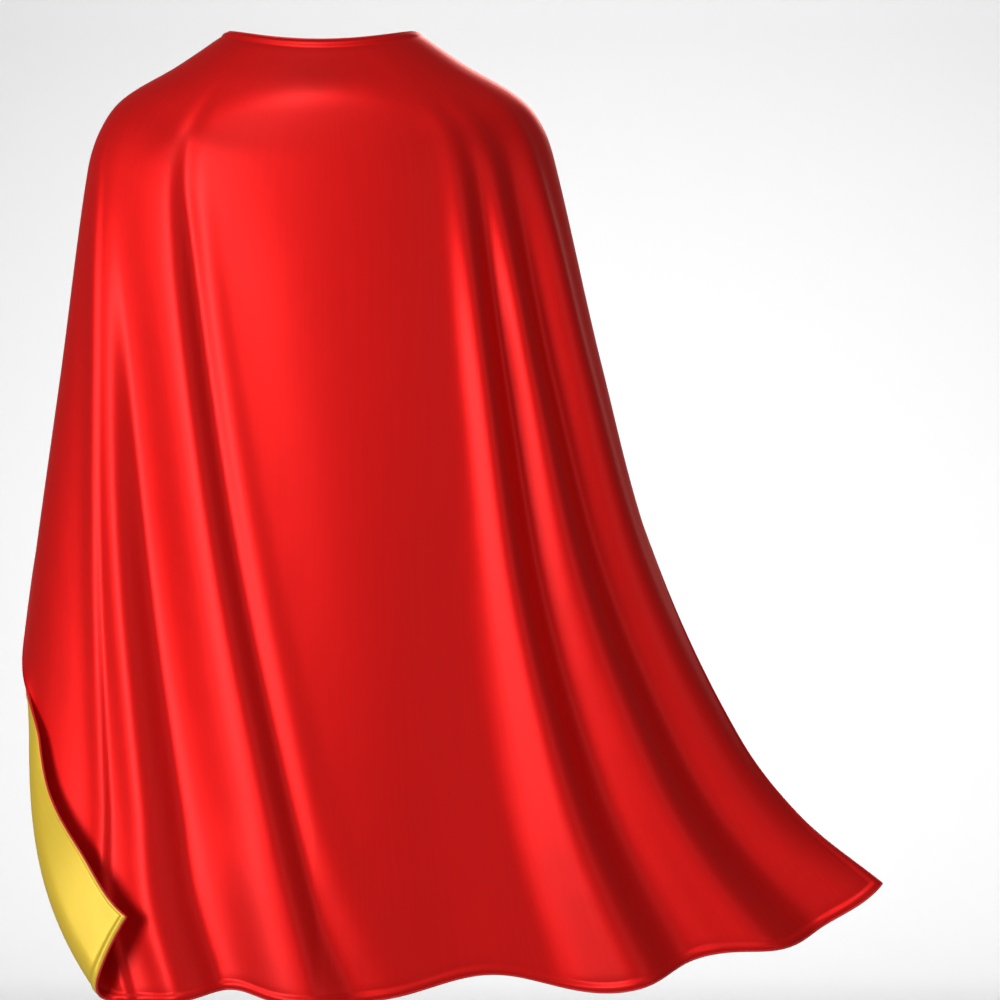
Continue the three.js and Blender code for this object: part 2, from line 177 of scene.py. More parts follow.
# The folds of the cloth. Each runs from a share of the reach at the shoulder line to another at
# the hem, and stands out (in, if negative) so many millimetres. Its widths on its left and on its
# right are shares of the reach, and it grows from one share of the length to another.
FOLDS = [
    {"top": 0.44, "hem": 0.42, "out": -11, "left": 0.24, "right": 0.08, "from": 0.35, "to": 0.9},
    {"top": 0.60, "hem": 0.58, "out": 14, "left": 0.06, "right": 0.06, "from": 0.06, "to": 0.4},
    {"top": 0.67, "hem": 0.66, "out": -11, "left": 0.05, "right": 0.05, "from": 0.08, "to": 0.4},
    {"top": 0.74, "hem": 0.81, "out": 11, "left": 0.05, "right": 0.05, "from": 0.06, "to": 0.35},
    {"top": 0.81, "hem": 0.91, "out": -12, "left": 0.04, "right": 0.04, "from": 0.10, "to": 0.4},
    {"top": 0.91, "hem": 0.99, "out": 16, "left": 0.05, "right": 0.03, "from": 0.08, "to": 0.3},
    {"top": -0.94, "hem": -0.58, "out": 4, "left": 0.04, "right": 0.015, "from": 0.12, "to": 0.3},
    {"top": -0.92, "hem": -0.43, "out": 7, "left": 0.06, "right": 0.05, "from": 0.16, "to": 0.6},
    {"top": -0.85, "hem": -0.29, "out": -13, "left": 0.05, "right": 0.14, "from": 0.16, "to": 0.6},
    {"top": -0.64, "hem": -0.01, "out": 8, "left": 0.15, "right": 0.05, "from": 0.06, "to": 0.35},
    {"top": -0.56, "hem": 0.075, "out": -5, "left": 0.03, "right": 0.05, "from": 0.05, "to": 0.25},
    {"top": -0.42, "hem": 0.24, "out": -3, "left": 0.08, "right": 0.20, "from": 0.12, "to": 0.3},
]

# Where the hem lifts between its folds: the place, as a share of the reach, how far and how wide.
HEM_LIFTS = [(0.31, 20, 0.15), (0.70, 19, 0.12), (-0.27, 10, 0.12)]

# The bend of the yoke over the shoulders: its height at the centre, how far that falls by the end
# of the shoulders, how far it stands out, and how soon it fades above and below.
BEND_TOP = -46
BEND_DROP = 36
BEND_OUT = 5
BEND_ABOVE = 22
BEND_BELOW = 70


def ease(start, end, value):
    p = np.clip((value - start) / (end - start), 0, 1)
    return p * p * (3 - 2 * p)


def fold_out(share, s):
    """How far the folds push the cloth outwards."""
    total = np.zeros_like(share)
    for fold in FOLDS:
        middle = fold["top"] + (fold["hem"] - fold["top"]) * (s - YOKE_SHARE) / (1 - YOKE_SHARE)
        width = np.where(share < middle, fold["left"], fold["right"])
        grown = ease(fold["from"], fold["to"], s)
        total += fold["out"] * grown * np.exp(-(((share - middle) / width) ** 2))
    return total


def hem_lift(share):
    return sum(up * np.exp(-(((share - at) / width) ** 2)) for at, up, width in HEM_LIFTS)


def turn_over(x, z):
    """Rolls the flat lower left corner over its line.

    Returns the new x and z, and how far it lifts."""

    def line(height):
        down = np.maximum((TURN_TOP - height) / TURN_HEIGHT, 0)
        slope = 3 * TURN_RUN * down**2 / TURN_HEIGHT
        steep = np.hypot(slope, 1)
        radius = TURN_TOP_RADIUS + (TURN_HEM_RADIUS - TURN_TOP_RADIUS) * np.minimum(down, 1)
        return TURN_RUN * down**3 - TURN_REACH, slope / steep, 1 / steep, radius

    height = z
    for _ in range(8):
        line_x, run, fall, _ = line(height)
        height = height - ((x - line_x) * run - (z - height) * fall) * fall
    line_x, run, fall, radius = line(height)
    beyond = -(x - line_x) * fall - (z - height) * run
    rolled = np.maximum(beyond + radius, 0)
    angle = np.minimum(rolled / radius, math.pi)
    flat = np.maximum(rolled - math.pi * radius, 0)
    out = radius * (np.sin(angle) - 1) - flat
    begun = ease(0, TURN_ONSET, TURN_TOP + TURN_ONSET / 2 - z)
    move = np.where(rolled > 0, (out - beyond) * begun, 0)
    return x - fall * move, z - run * move, radius * (1 - np.cos(angle)) * begun


def cape_surface(t, s):
    """Points half way through the cape, in millimetres: t runs round it and s down it."""
    on_left = t < 0
    wrap = wrap_angle(s)
    angle = np.abs(t) * wrap
    side_reach = np.where(on_left, left_reach(s), right_reach(s))
    side_height = np.where(on_left, left_height(s), right_height(s))
    reach = side_reach / np.sin(np.minimum(wrap, math.pi / 2))
    x = np.where(on_left, -1, 1) * reach * np.sin(angle)
    share = np.abs(x) / side_reach
    power = 2 + 3 * ease(YOKE_SHARE, 1, s)
    back = back_height(s)
    z = back + (side_height - back) * share**power
    turned_x, turned_z, lift = turn_over(x, z)
    behind = angle <= math.pi / 2
    turning = behind & on_left
    x = np.where(turning, turned_x, x)
    z = np.where(turning, turned_z, z)
    lift = np.where(turning, lift, 0)
    round_front = (np.cos(angle) / math.cos(float(wrap_angle(0.0)))) ** 2
    z = np.where(behind, z, side_height + (front_height(s) - side_height) * round_front)
    cosine = np.sqrt(np.maximum(1 - (x / reach) ** 2, 0))
    y = np.where(behind, -back_depth(s) * cosine - lift, -bulge(s) * np.cos(angle))
    fold = fold_out(x / side_reach, s) * (1 - TURN_SMOOTHS * ease(*TURN_SMOOTH_LIFT, lift))
    below = BEND_TOP - BEND_DROP * (x / 111) ** 2 - z
    bend = BEND_OUT * np.exp(-((below / np.where(below < 0, BEND_ABOVE, BEND_BELOW)) ** 2))
    fold = fold + np.where(behind, bend * ease(140, 90, np.abs(x)) * ease(0, 0.03, s), 0)
    z = z + np.where(behind, hem_lift(x / side_reach) * ease(0.6, 1, s), 0)
    out_x, out_y = x * back_depth(s), y * reach
    length = np.hypot(out_x, out_y)
    return np.stack([x + out_x / length * fold * 0.3, y + out_y / length * fold, z], axis=-1)


def outward(surface, u, v, facing):
    """The side of a surface that faces away from the wearer."""
    step = 1e-4
    across = surface(u + step, v) - surface(u - step, v)
    down = surface(u, v + step) - surface(u, v - step)
    side = np.cross(across, down)
    return facing * side / np.linalg.norm(side, axis=-1, keepdims=True)


# ---- The care label, in millimetres ----

LABEL_WIDTH = 24
LABEL_HEIGHT = 35
LABEL_TOP = 13  # below the neckline

# ---- The neck tabs, in millimetres ----

TAB_HEIGHT = 34
TAB_REACH = 18
TAB_ROOT_GAP = 0.6
TAB_FLARE = 0.3
TAB_FALL = 5
TAB_STEP = 6.2  # how far the outer tab stands off the inner one where they overlap
PATCH_LENGTH = 30
PATCH_HEIGHT = 22
PATCH_END_INSET = 3
STITCH_INSET = 2.5  # from the edge of a patch

TAB_SHARE = TAB_HEIGHT / CAPE_LENGTH
ROOT_ANGLE = float(wrap_angle(0.0))
LAP_ANGLE = math.asin(TAB_REACH / NECK_HALF_WIDTH)
TIP_ANGLE = math.pi + LAP_ANGLE
LAP_SHARE = (math.pi - LAP_ANGLE - ROOT_ANGLE) / (TIP_ANGLE - ROOT_ANGLE)
TAB_ARC = (NECK_HALF_WIDTH + NECK_HALF_DEPTH) / 2 * (TIP_ANGLE - ROOT_ANGLE)
ROOT_SHARE = TAB_ROOT_GAP / TAB_ARC


def strip_point(k, w):
    """A tab before it meets the yoke: it carries the neckline on round the throat."""
    angle = ROOT_ANGLE + (TIP_ANGLE - ROOT_ANGLE) * k
    widen = 1 + TAB_FLARE * w * np.maximum(1 - k / LAP_SHARE, 0) ** 2
    x = NECK_HALF_WIDTH * np.sin(angle) * widen
    y = -NECK_HALF_DEPTH * np.cos(angle) * widen
    return np.stack([x, y, -NECK_FRONT_DROP - TAB_FALL * k - w * TAB_HEIGHT], axis=-1)


def tab_surface(sign, step):
    """The surface half way through a tab: k is from root to tip, and w from top to bottom."""

    def at(k, w):
        point = strip_point(k, w)
        across = point * (1, 1, 0)
        across /= np.linalg.norm(across, axis=-1, keepdims=True)
        root = cape_surface(np.ones_like(w), w * TAB_SHARE) - strip_point(np.zeros_like(w), w)
        joined = np.maximum(1 - k / LAP_SHARE, 0)[..., None] ** 2
        point = point + root * joined + across * (step * ease(0, LAP_SHARE, k))[..., None]
        return point * (sign, 1, 1)

    return at


# ---- Sizes and colours that a user would change ----


def linear(hex_colour):
    """An sRGB hex colour as linear red, green and blue."""
    parts = [int(hex_colour[i : i + 2], 16) / 255 for i in (0, 2, 4)]
    return tuple(c / 12.92 if c <= 0.04045 else ((c + 0.055) / 1.055) ** 2.4 for c in parts)


class CapeSizes(bpy.types.PropertyGroup):
    cloth: FloatProperty(
        name="Cloth thickness", description="Each satin layer", default=0.35 * MM, unit="LENGTH"
    )
    apart: FloatProperty(
        name="Layer offset", description="From the cape's middle to the middle of each cloth",
        default=0.65 * MM, unit="LENGTH",
    )
    edge_pad: FloatProperty(
        name="Edge padding", description="How far the seam allowances inside swell each cloth",
        default=0.7 * MM, unit="LENGTH",
    )
    edge_roll: FloatProperty(
        name="Edge roll", description="Radius of the folded edge", default=0.75 * MM, unit="LENGTH"
    )
    stitch: FloatProperty(
        name="Stitch length", description="Stitches on the tabs", default=2.6 * MM, unit="LENGTH"
    )


class CapeColours(bpy.types.PropertyGroup):
    red: FloatVectorProperty(
        name="Red satin", description="Shell colour", subtype="COLOR", default=linear("dd0a0c")
    )
    yellow: FloatVectorProperty(
        name="Yellow satin", description="Lining colour", subtype="COLOR", default=linear("e4c238")
    )
    red_nylon: FloatVectorProperty(
        name="Red nylon", description="Hook and loop colour", subtype="COLOR",
        default=linear("a8141a"),
    )
    white: FloatVectorProperty(
        name="White tape", description="Tape, interfacing and label", subtype="COLOR",
        default=linear("ece8e0"),
    )


# ---- Materials ----


def add_node(tree, kind, settings=None, **links):
    """Adds a node, sets its properties, and fills its sockets with links or values.

    A socket is named in words with underscores, or by its number after an i."""
    node = tree.nodes.new(kind)
    for name, value in (settings or {}).items():
        setattr(node, name, value)
    for name, value in links.items():
        socket = node.inputs[int(name[1:]) if name[1:].isdigit() else name.replace("_", " ")]
        if isinstance(value, bpy.types.NodeSocket):
            tree.links.new(value, socket)
        else:
            socket.default_value = value
    return node


def start_material(name):
    """An empty material, its tree and its shader."""
    material = bpy.data.materials.new(name)
    material.use_nodes = True
    return material, material.node_tree, material.node_tree.nodes["Principled BSDF"]


def shaded(tree, colour, dark, light, factor):
    """Varies a colour between darker and lighter by a factor."""
    low = (*[c * dark for c in colour], 1)
    high = (*[min(c * light, 1) for c in colour], 1)
    mixed = add_node(tree, "ShaderNodeMix", {"data_type": "RGBA"}, i0=factor, i6=low, i7=high)
    return mixed.outputs[2]


def satin(name, colour, gloss, metallic):
    """Polyester satin. Its long warp floats run down the cloth and lie side by side, so its shine
    spreads across the cloth more than down it, and is tinted by the dyed thread."""
    material, tree, shader = start_material(name)
    cloth = add_node(tree, "ShaderNodeUVMap", {"uv_map": "cloth"}).outputs["UV"]
    # Slight streaks down the warp, 2 mm wide, where some threads took more dye
    along = add_node(tree, "ShaderNodeMapping", Vector=cloth, Scale=(500, 10, 1))
    streaks = add_node(tree, "ShaderNodeTexNoise", Vector=along.outputs[0], Scale=1, Detail=3)
    base = shaded(tree, colour, 0.93, 1.05, streaks.outputs["Fac"])
    tree.links.new(base, shader.inputs["Base Color"])
    # The floats, drawn 0.8 mm wide and 2.5 mm long, over the soft crumple that is left by folding
    floats = add_node(tree, "ShaderNodeMapping", Vector=cloth, Scale=(1250, 400, 1))
    weave = add_node(tree, "ShaderNodeTexNoise", Vector=floats.outputs[0], Scale=1, Detail=1)
    crumple = add_node(tree, "ShaderNodeTexNoise", Vector=cloth, Scale=26, Detail=2, Roughness=0.4)
    soft = add_node(
        tree, "ShaderNodeBump", Height=crumple.outputs["Fac"], Strength=0.35, Distance=1.5 * MM
    )
    fine = add_node(
        tree, "ShaderNodeBump", Height=weave.outputs["Fac"], Normal=soft.outputs[0], Strength=0.15,
        Distance=0.1 * MM,
    )
    tree.links.new(fine.outputs[0], shader.inputs["Normal"])
    tangent = add_node(tree, "ShaderNodeTangent", {"direction_type": "UV_MAP", "uv_map": "cloth"})
    tree.links.new(tangent.outputs[0], shader.inputs["Tangent"])
    shader.inputs["Metallic"].default_value = metallic
    shader.inputs["Roughness"].default_value = 0.5
    shader.inputs["Anisotropic"].default_value = 0.5
    shader.inputs["IOR"].default_value = 1.5
    shader.inputs["Specular Tint"].default_value = (*gloss, 1)
    shader.inputs["Sheen Weight"].default_value = 0.03
    shader.inputs["Sheen Roughness"].default_value = 0.5
    shader.inputs["Sheen Tint"].default_value = (*gloss, 1)
    shader.inputs["Coat Weight"].default_value = 0.2
    shader.inputs["Coat Roughness"].default_value = 0.4
    return material


def woven(name, colour, thread, roughness, sheen=0.0):
    """Plain weave: threads cross over and under each other, thread wide in metres."""
    material, tree, shader = start_material(name)
    place = add_node(tree, "ShaderNodeTexCoord").outputs["Object"]
    turn = math.pi / thread / 20
    waves = [
        add_node(
            tree, "ShaderNodeTexWave", {"bands_direction": axis}, Vector=place, Scale=turn,
            Distortion=0.4, Detail_Scale=turn,
        ).outputs["Fac"]
        for axis in ("X", "Z")
    ]
    crossed = add_node(tree, "ShaderNodeMath", {"operation": "MULTIPLY"}, i0=waves[0], i1=waves[1])
    base = shaded(tree, colour, 0.8, 1.0, crossed.outputs[0])
    tree.links.new(base, shader.inputs["Base Color"])
    bump = add_node(
        tree, "ShaderNodeBump", Height=crossed.outputs[0], Strength=0.5, Distance=thread / 2
    )
    tree.links.new(bump.outputs[0], shader.inputs["Normal"])
    shader.inputs["Roughness"].default_value = roughness
    shader.inputs["Sheen Weight"].default_value = sheen
    return material


def fibrous(name, colour, size, depth, roughness, sheen):
    """Loose fibres: brushed loops or bonded interfacing, in tufts of a size in metres."""
    material, tree, shader = start_material(name)
    place = add_node(tree, "ShaderNodeTexCoord").outputs["Object"]
    tufts = add_node(
        tree, "ShaderNodeTexNoise", Vector=place, Scale=1 / size, Detail=5, Roughness=0.7,
        Distortion=1.5,
    )
    base = shaded(tree, colour, 0.55, 1.15, tufts.outputs["Fac"])
    tree.links.new(base, shader.inputs["Base Color"])
    height = tufts.outputs["Fac"]
    bump = add_node(tree, "ShaderNodeBump", Height=height, Strength=0.8, Distance=depth)
    tree.links.new(bump.outputs[0], shader.inputs["Normal"])
    shader.inputs["Roughness"].default_value = roughness
    shader.inputs["Sheen Weight"].default_value = sheen
    return material


def finish_named(name, build, *settings):
    """The material of that name, built the first time it is asked for."""
    return bpy.data.materials.get(name) or build(name, *settings)


def red_satin():
    colours = bpy.context.scene.cape_colours
    return finish_named("red polyester satin", satin, colours.red, (1, 0.42, 0.3), 0.7)


def yellow_satin():
    colours = bpy.context.scene.cape_colours
    return finish_named("yellow polyester satin", satin, colours.yellow, (1, 0.95, 0.7), 0.35)


def red_thread():
    colours = bpy.context.scene.cape_colours
    return finish_named("red polyester thread", woven, colours.red, 0.2 * MM, 0.45, 0.2)


def white_ribbon():
    colours = bpy.context.scene.cape_colours
    return finish_named("white woven ribbon", woven, colours.white, 0.3 * MM, 0.5, 0.1)


# ---- Making pieces ----


def new_piece(name, mesh_bm):
    """A piece at the origin with its place in its mesh, smooth, from a bmesh that this uses up."""
    for face in mesh_bm.faces:
        face.smooth = True
    mesh = bpy.data.meshes.new(name)
    mesh_bm.to_mesh(mesh)
    mesh_bm.free()
    piece = bpy.data.objects.new(name, mesh)
    bpy.context.scene.collection.objects.link(piece)
    return piece


def fit_out(piece, material, slot, body, *nodes):
    """Gives a piece its finish and hides the solids that it stands for. It rides on one body, or,
    if it runs from the yoke into the drape, stays where it lies on no body."""
    piece.data.materials.append(material)
    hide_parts(*nodes)
    if body == "yoke to drape":
        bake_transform(piece)
    else:
        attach(piece, body)
    return piece


ROLL_SIDES = 10  # faces round a rolled edge
EDGE_ROWS = 8  # closer columns and rows along every edge of a cloth
EDGE_BAND = 9  # how wide a band of it they cover, in millimetres


def closer_at_ends(even, size, cells):
    """Sends even places from -1 to 1 to the same range, closer together in a band at its ends."""
    band = min(2 * EDGE_BAND / size, 0.4)
    share = min(2 * EDGE_ROWS / cells, 0.4)
    return np.interp(even, [-1, share - 1, 1 - share, 1], [-1, band - 1, 1 - band, 1])


def lay_cloth(name, surface, facing, u_span, v_span, cells, cut, offset, thickness):
    """A cloth: a grid laid over part of a surface, at an offset from it, and given its thickness.

    cells are its columns and rows and cut its flat width and length. offset is a length, or takes
    each point's distance from the nearest edge of the cut."""
    cloth = bmesh.new()
    bmesh.ops.create_grid(cloth, x_segments=cells[0], y_segments=cells[1], size=1)
    flat = np.array([vert.co[:] for vert in cloth.verts])
    across = closer_at_ends(flat[:, 0], cut[0], cells[0])
    down = closer_at_ends(-flat[:, 1], cut[1], cells[1])
    u = u_span[0] + (across + 1) / 2 * (u_span[1] - u_span[0])
    v = v_span[0] + (down + 1) / 2 * (v_span[1] - v_span[0])
    from_edge = np.minimum((1 - np.abs(across)) * cut[0] / 2, (1 - np.abs(down)) * cut[1] / 2)
    off = offset(from_edge) if callable(offset) else np.full_like(u, offset)
    sides = outward(surface, u, v, facing)
    points = (surface(u, v) + sides * off[:, None]) * MM
    for vert, point in zip(cloth.verts, points):
        vert.co = point
    pattern = cloth.loops.layers.uv.new("cloth")
    place = np.stack([across * cut[0] / 2, -down * cut[1] / 2], axis=-1) * MM
    for face in cloth.faces:
        for loop in face.loops:
            loop[pattern].uv = place[loop.vert.index]
    cloth.normal_update()
    cloth.verts.ensure_lookup_table()
    middle = len(cloth.verts) // 2
    if cloth.verts[middle].normal.dot(Vector(sides[middle])) < 0:
        bmesh.ops.reverse_faces(cloth, faces=cloth.faces)
    piece = new_piece(name, cloth)
    solid = piece.modifiers.new("thickness", "SOLIDIFY")
    solid.thickness = thickness
    solid.offset = 0
    return piece


def closed_edges(side, taper=1.6):
    """Offset of a shell (side 1) or lining (side -1) from the middle of the cape. The two close on
    each other at the edge, over a band swollen by the seam allowances and pressed flat behind."""
    sizes = bpy.context.scene.cape_sizes
    apart, pad = sizes.apart / MM, sizes.edge_pad / MM

    def offset(from_edge):
        closing = apart * (0.4 + 0.6 * ease(0, taper, from_edge))
        swell = pad * np.exp(-(((from_edge - 3.2) / 1.9) ** 2))
        pressed = 0.25 * np.exp(-(((from_edge - 7) / 1.2) ** 2))
        return side * (closing + swell - pressed)

    return offset


def roll_edge(name, surface, places, inner, facing, radius):
    """The folded edge that closes shell to lining: a fine rounded roll along places on a surface.

    places are its (u, v) from end to end, and inner is a place in the cloth that it closes, or one
    for each of them."""
    u, v = np.array(places).T
    inner_u, inner_v = np.broadcast_to(inner, (len(places), 2)).T
    centre = surface(u, v)
    side = outward(surface, u, v, facing)
    past = np.cross(np.gradient(centre, axis=0), side)
    back = surface(u + (inner_u - u) * 0.02, v + (inner_v - v) * 0.02)
    past *= np.sign(np.sum(past * (centre - back), axis=-1, keepdims=True))
    past /= np.linalg.norm(past, axis=-1, keepdims=True)
    roll = bmesh.new()
    bmesh.ops.create_grid(roll, x_segments=len(places) - 1, y_segments=ROLL_SIDES, size=1)
    for vert in roll.verts:
        i = round((vert.co.x + 1) / 2 * (len(places) - 1))
        turn = (vert.co.y + 1) * math.pi
        point = centre[i] + radius * (past[i] * math.cos(turn) + side[i] * 1.3 * math.sin(turn))
        vert.co = point * MM
    bmesh.ops.remove_doubles(roll, verts=roll.verts, dist=1e-7)
    bmesh.ops.holes_fill(roll, edges=[edge for edge in roll.edges if edge.is_boundary])
    bmesh.ops.recalc_face_normals(roll, faces=roll.faces)
    return new_piece(name, roll)


def run(from_place, to_place, count):
    """Evenly spaced places on a surface, from one to another."""
    return np.linspace(from_place, to_place, count + 1)


# ---- The cape itself ----

CAPE_CELLS = (250, 180)
CAPE_CUT = (640, CAPE_LENGTH)
STEP = 1e-4


class CAPE_OT_shell(bpy.types.Operator):
    """Red satin shell, the outside of the cape"""

    bl_idname = "cape.shell"
    bl_label = "Shell"

    def execute(self, context):
        sizes = context.scene.cape_sizes
        shell = lay_cloth(
            "satin_shell", cape_surface, -1, (-1, 1), (0, 1), CAPE_CELLS, CAPE_CUT,
            closed_edges(1), sizes.cloth,
        )
        fit_out(shell, red_satin(), "red_satin", "yoke to drape", "shell_yoke", "shell_drape")
        return {"FINISHED"}


class CAPE_OT_lining(bpy.types.Operator):
    """Yellow satin lining, the inside of the cape"""

    bl_idname = "cape.lining"
    bl_label = "Lining"

    def execute(self, context):
        sizes = context.scene.cape_sizes
        lining = lay_cloth(
            "satin_lining", cape_surface, -1, (-1, 1), (0, 1), CAPE_CELLS, CAPE_CUT,
            closed_edges(-1), sizes.cloth,
        )
        nodes = ("lining_yoke", "lining_drape")
        fit_out(lining, yellow_satin(), "yellow_satin", "yoke to drape", *nodes)
        return {"FINISHED"}


class CAPE_OT_edges(bpy.types.Operator):
    """Rolled edges that close the shell to the lining"""

    bl_idname = "cape.edges"
    bl_label = "Edges"

    def execute(self, context):
        radius = context.scene.cape_sizes.edge_roll / MM
        top, hem = run((-1, 0), (1, 0), 160), run((-1, 1), (1, 1), 400)
        rolls = [
            ("neckline_roll", top, top + (0, 0.1), "yoke", ["neckline_seam"]),
            ("hem_roll", hem, hem - (0, 0.1), "drape", ["hem_seam"]),
        ]
        for name, edge in (("left", -1), ("right", 1)):
            down = run((edge, TAB_SHARE), (edge, 1), 240)
            nodes = [f"{name}_edge_seam_yoke", f"{name}_edge_seam_drape"]
            inner = down - (edge * 0.1, 0)
            rolls.append((f"{name}_edge_roll", down, inner, "yoke to drape", nodes))
        for name, places, inner, body, nodes in rolls:
            roll = roll_edge(name, cape_surface, places, inner, -1, radius)
            fit_out(roll, red_thread(), "edge_thread", body, *nodes)
        return {"FINISHED"}


class CAPE_OT_neck_tape(bpy.types.Operator):
    """Stay tape inside the neckline"""

    bl_idname = "cape.neck_tape"
    bl_label = "Neckline tape"

    def execute(self, context):
        tape = lay_cloth(
            "neckline_tape", cape_surface, -1, (-0.94, 0.94), (3 / CAPE_LENGTH, 11 / CAPE_LENGTH),
            (120, 6), (280, 8), 0, 0.3 * MM,
        )
        fit_out(tape, white_ribbon(), "white_tape", "yoke", "neckline_stay_tape")
        return {"FINISHED"}


class CAPE_OT_care_label(bpy.types.Operator):
    """Blank care label, stitched to the lining by its top edge"""

    bl_idname = "cape.care_label"
    bl_label = "Care label"

    def execute(self, context):
        middle = (LABEL_TOP + LABEL_HEIGHT / 2) / CAPE_LENGTH
        half = float(LABEL_WIDTH / 2 / (left_reach(middle) * wrap_angle(middle)))

        def hanging(u, v):
            drop = (v * CAPE_LENGTH - LABEL_TOP) / LABEL_HEIGHT
            clear = 1.15 + 2.6 * ease(0.02, 0.5, drop) + 0.5 * np.cos(u / half * 2.2) * drop
            side = outward(cape_surface, u, v, -1)
            return cape_surface(u, v) - side * clear[..., None]

        label = lay_cloth(
            "care_label_ribbon", hanging, 1, (-half, half),
            (LABEL_TOP / CAPE_LENGTH, (LABEL_TOP + LABEL_HEIGHT) / CAPE_LENGTH), (24, 36),
            (LABEL_WIDTH, LABEL_HEIGHT), 0, 0.25 * MM,
        )
        fit_out(label, white_ribbon(), "label_ribbon", "yoke", "care_label")
        end, row = half * 0.86, (LABEL_TOP + 2) / CAPE_LENGTH
        rows = run((-end, row), (end, row), 8)
        stitches = sew("care_label_stitches", hanging, rows, -0.25, 1, 0.14)
        fit_out(stitches, red_thread(), "edge_thread", "yoke")
        return {"FINISHED"}


# ---- The neck tabs ----


def sew(name, surface, places, offset, facing, radius):
    """A line of stitches: a short rounded stitch between each place and the next."""
    line = bmesh.new()
    u, v = np.array(places).T
    points = (surface(u, v) + outward(surface, u, v, facing) * offset) * MM
    for start, end in zip(points[:-1], points[1:]):
        along = Vector(end - start)
        if along.length < 0.5 * MM:
            continue
        turn = along.to_track_quat("Z", "Y").to_matrix().to_4x4()
        place = Matrix.Translation(Vector((start + end) / 2)) @ turn
        size = Matrix.Diagonal((radius * MM, radius * MM, along.length * 0.43, 1))
        bmesh.ops.create_uvsphere(line, u_segments=8, v_segments=6, radius=1, matrix=place @ size)
    return new_piece(name, line)


def tab_box(start, end, low, high, count):
    """Places round a box on a tab, and back to the first."""
    corners = [(start, low), (end, low), (end, high), (start, high), (start, low)]
    sides = [run(a, b, n)[:-1] for a, b, n in zip(corners, corners[1:], count)]
    return np.vstack([*sides, corners[:1]])


def make_tab(name, sign, step, patch_side, patch_name):
    """One neck tab: shell, lining, interfacing, rolled edge, patch and the stitches round it.

    patch_side is 1 where the patch faces away from the throat and -1 where it faces the throat."""
    sizes = bpy.context.scene.cape_sizes
    surface = tab_surface(sign, step)
    body, facing = f"{name}_tab", -sign
    k_span, length = (ROOT_SHARE, 1), TAB_ARC - TAB_ROOT_GAP
    for cloth, side, finish, slot in (
        ("shell", 1, red_satin(), "red_satin"),
        ("lining", -1, yellow_satin(), "yellow_satin"),
    ):
        piece = lay_cloth(
            f"{name}_tab_satin_{cloth}", surface, facing, k_span, (0, 1), (110, 44),
            (length, TAB_HEIGHT), closed_edges(side), sizes.cloth,
        )
        fit_out(piece, finish, slot, body, f"{name}_tab_{cloth}")

    stiff = lay_cloth(
        f"{name}_tab_stiffener", surface, facing, (0.03, 0.97), (0.08, 0.92), (60, 20),
        (length * 0.94, 28), 0, 0.3 * MM,
    )
    felt = finish_named(
        "white bonded interfacing", fibrous, bpy.context.scene.cape_colours.white, 1.5 * MM,
        0.1 * MM, 0.9, 0.1,
    )
    fit_out(stiff, felt, "white_tape", body, f"{name}_tab_interfacing")

    edge = [*run((ROOT_SHARE, 0), (1, 0), 60), *run((1, 0), (1, 1), 24)[1:]]
    edge += [*run((1, 1), (ROOT_SHARE, 1), 60)[1:]]
    middle = (0.5, 0.5)
    roll = roll_edge(f"{name}_tab_roll", surface, edge, middle, facing, sizes.edge_roll / MM)
    fit_out(roll, red_thread(), "edge_thread", body, f"{name}_tab_tip_seam")

    end = 1 - PATCH_END_INSET / TAB_ARC
    start = end - PATCH_LENGTH / TAB_ARC
    low, high = (1 - PATCH_HEIGHT / TAB_HEIGHT) / 2, (1 + PATCH_HEIGHT / TAB_HEIGHT) / 2
    near = sizes.apart / MM + 0.25
    patch = lay_cloth(
        f"{patch_name}_tape", surface, facing, (start, end), (low, high), (60, 44),
        (PATCH_LENGTH, PATCH_HEIGHT), patch_side * (near + 0.45), 0.9 * MM,
    )
    nylon = bpy.context.scene.cape_colours.red_nylon
    if patch_name == "hook":
        finish = finish_named("red nylon hook tape", woven, nylon, 0.5 * MM, 0.4, 0.0)
    else:
        finish = finish_named(
            "red nylon loop tape", fibrous, nylon, 0.8 * MM, 0.4 * MM, 0.8, 0.5
        )
    fit_out(patch, finish, "hook_and_loop", body, f"{patch_name}_patch")
    grow_pile(f"{patch_name}_pile", surface, facing, (start, end), (low, high),
              patch_side, near + 0.9, patch_name, finish, body)

    in_u, in_v = STITCH_INSET / TAB_ARC, STITCH_INSET / TAB_HEIGHT
    around = (9, 6, 9, 6)
    box = tab_box(start + in_u, end - in_u, low + in_v, high - in_v, around)
    stitches = sew(
        f"{patch_name}_box_stitches", surface, box, -patch_side * (near + 0.15), facing, 0.22
    )
    fit_out(stitches, red_thread(), "edge_thread", body, f"{patch_name}_stitching")


